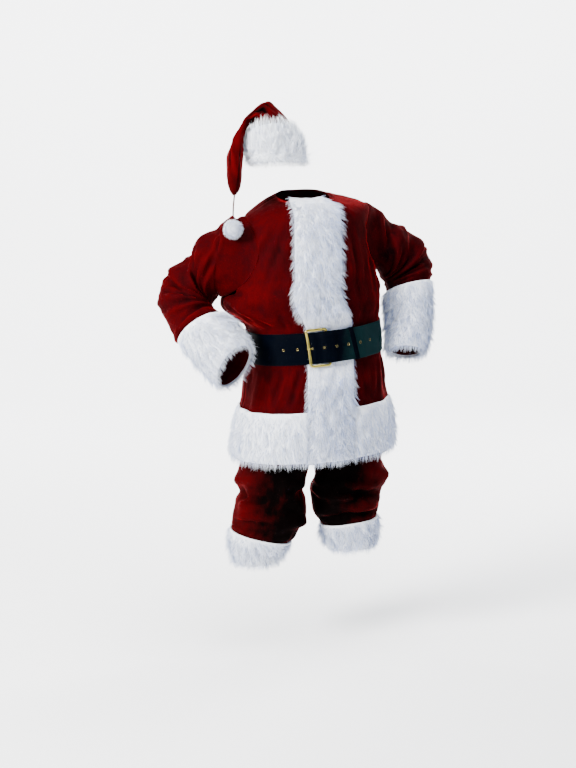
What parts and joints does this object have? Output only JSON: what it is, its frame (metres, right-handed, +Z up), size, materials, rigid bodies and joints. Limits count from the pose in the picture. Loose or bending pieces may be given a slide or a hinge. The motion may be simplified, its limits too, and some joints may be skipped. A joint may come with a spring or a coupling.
{
  "type": "santa suit",
  "caption": "Fur-trimmed red velvet costume set of hat with pompom, belted coat and gathered trousers, hollow and held in a worn, hands-on-hips pose.",
  "frame": {"origin": "between the wearer's shoulders, 1.48 m above the floor, where the coat hangs on its wearer or form", "axes": "+Z up along the wearer, +X to the viewer's right (the wearer's left), +Y to the wearer's back; the chest is turned 16 degrees towards +X"},
  "size_m": [0.9015, 0.5209, 1.5157],
  "materials": {
    "velvet": "velvet pile, satin lining",
    "white_fur": "long-pile faux fur",
    "belt_leather": "satin",
    "brass": "polished",
    "waist_elastic": "gathered"
  },
  "bodies": {
    "root": {"hat_crown": "velvet", "hat_brim_fur": "white_fur", "hat_pompom": "white_fur", "pompom_tie": "velvet", "coat_front_right": "velvet", "coat_front_left": "velvet", "coat_back": "velvet", "sleeve_right": "velvet", "sleeve_left": "velvet", "cuff_fur_right": "white_fur", "cuff_fur_left": "white_fur", "placket_fur": "white_fur", "hem_fur": "white_fur", "belt_strap": "belt_leather", "belt_keeper": "belt_leather", "belt_buckle": "brass", "belt_prong": "brass", "trouser_leg_right": "velvet", "trouser_leg_left": "velvet", "trouser_waistband": "waist_elastic", "trouser_cuff_fur_right": "white_fur", "trouser_cuff_fur_left": "white_fur", "belt_eyelet_1": "brass", "belt_eyelet_2": "brass", "belt_eyelet_3": "brass", "belt_eyelet_4": "brass", "belt_eyelet_5": "brass", "belt_eyelet_6": "brass", "belt_eyelet_7": "brass", "belt_eyelet_8": "brass"}
  },
  "joints": []
}
